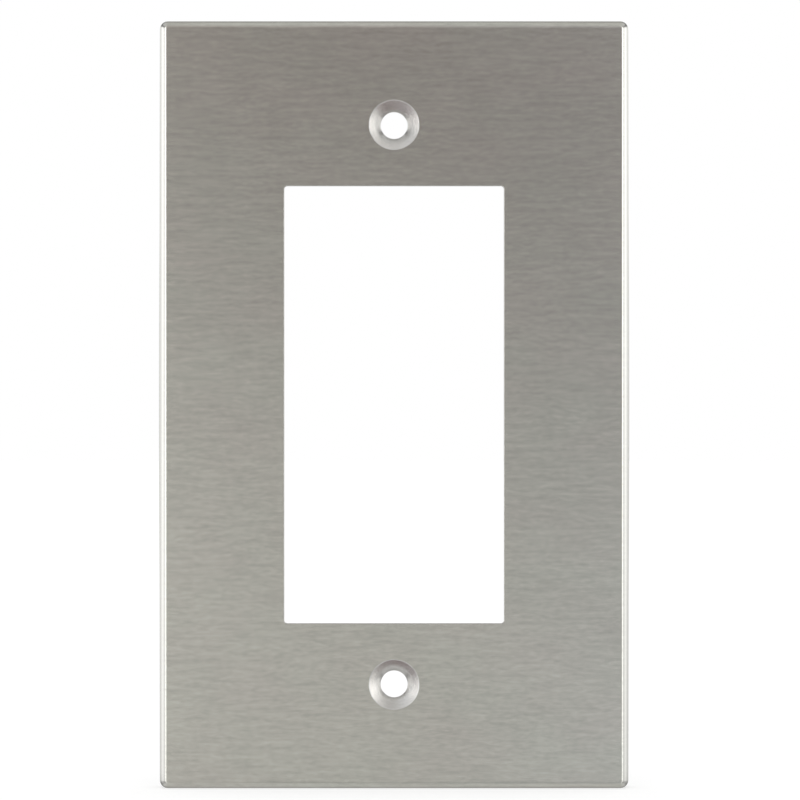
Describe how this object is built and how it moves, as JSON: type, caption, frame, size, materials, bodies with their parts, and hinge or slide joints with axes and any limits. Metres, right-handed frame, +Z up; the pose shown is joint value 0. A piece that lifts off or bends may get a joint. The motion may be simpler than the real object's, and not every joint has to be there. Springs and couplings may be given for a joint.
{
  "type": "wall plate cover",
  "caption": "Single-gang brushed stainless steel wall plate: a shallow drawn pan with a rectangular device window and countersunk screw holes.",
  "frame": {"origin": "centre of the rim that rests on the wall, midway between the two screw holes and centred in the device window", "axes": "+Z up as the plate hangs, +X to the right seen from the room, +Y into the wall, so the face looks along -Y"},
  "size_m": [0.0698, 0.0056, 0.1142],
  "materials": {
    "brushed_stainless": "fine horizontal brushed grain, bare metal"
  },
  "bodies": {
    "root": {"wall_plate": "brushed_stainless"}
  },
  "joints": []
}
